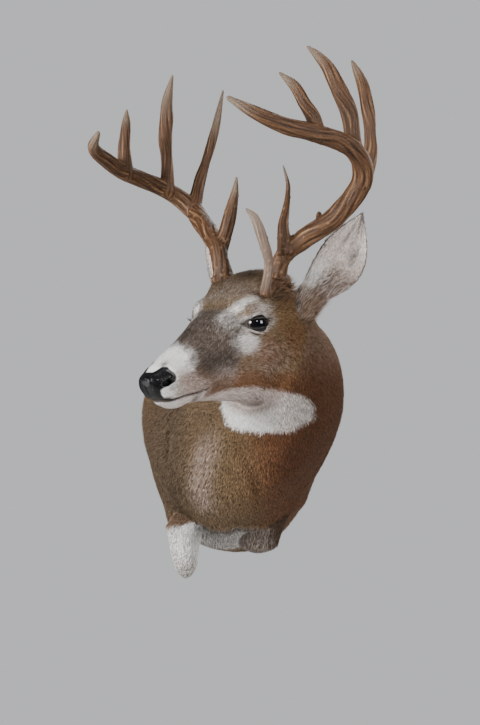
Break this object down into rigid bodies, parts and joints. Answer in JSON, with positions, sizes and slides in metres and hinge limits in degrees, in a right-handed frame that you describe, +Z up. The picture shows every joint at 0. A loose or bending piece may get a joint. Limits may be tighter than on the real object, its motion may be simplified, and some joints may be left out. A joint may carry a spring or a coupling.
{
  "type": "deer shoulder mount",
  "caption": "Life-size shoulder mount of an antlered white-tailed buck on a backboard, head turned to its right, to hang on a wall.",
  "frame": {"origin": "middle of the backboard's rear face, on the wall", "axes": "+X to the right of someone who faces the wall (the deer's left), +Y into the wall, +Z up; the deer faces into the room along -Y"},
  "size_m": [0.4177, 0.54, 0.7654],
  "materials": {
    "coat": "short hair, brown above and white on the throat, jaw, eye rings and inner legs",
    "nose": "moist black pebbled skin",
    "eye": "dark polished glass",
    "antler": "bone, furrowed and stained brown with pale tips",
    "board": "bare plywood"
  },
  "bodies": {
    "root": {"nose": "nose", "muzzle": "coat", "head": "coat", "lower_jaw": "coat", "neck": "coat", "shoulders": "coat", "eye_left": "eye", "eye_right": "eye", "ear_left": "coat", "ear_right": "coat", "leg_left": "coat", "leg_right": "coat", "backboard": "board", "antler_left_beam_1": "antler", "antler_left_beam_2": "antler", "antler_left_beam_3": "antler", "antler_left_beam_4": "antler", "antler_left_brow": "antler", "antler_left_bump": "antler", "antler_left_burr": "antler", "antler_left_fourth": "antler", "antler_left_inner": "antler", "antler_left_second": "antler", "antler_left_third": "antler", "antler_right_beam_1": "antler", "antler_right_beam_2": "antler", "antler_right_beam_3": "antler", "antler_right_beam_4": "antler", "antler_right_brow": "antler", "antler_right_burr": "antler", "antler_right_fourth": "antler", "antler_right_second": "antler", "antler_right_third": "antler"}
  },
  "joints": []
}
